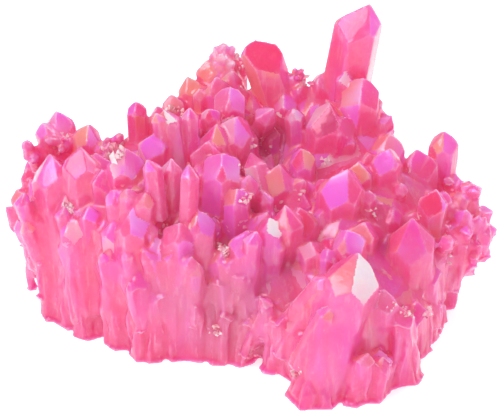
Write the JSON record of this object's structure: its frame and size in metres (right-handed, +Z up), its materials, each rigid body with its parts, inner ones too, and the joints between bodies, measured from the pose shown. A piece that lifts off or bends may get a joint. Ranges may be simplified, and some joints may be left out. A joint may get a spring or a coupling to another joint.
{
  "type": "crystal cluster",
  "caption": "Open cluster of pink six-sided quartz points with an iridescent metallic film, grown together on a rough root body that is cut off flat below and rests on the cut.",
  "frame": {"origin": "middle of the outline, seen from above, at the level of the flat cut that the cluster rests on", "axes": "+X along the longest side, to the right seen from the front; -Y towards the front, the side with the columned wall and the big leaning point; +Z up"},
  "size_m": [0.101, 0.0688, 0.0594],
  "materials": {
    "aura_quartz": "glossy crystal faces, milky pink inside, with a thin iridescent film that turns violet, peach or pale pink"
  },
  "bodies": {
    "root": {"quartz_cluster": "aura_quartz"}
  },
  "joints": []
}
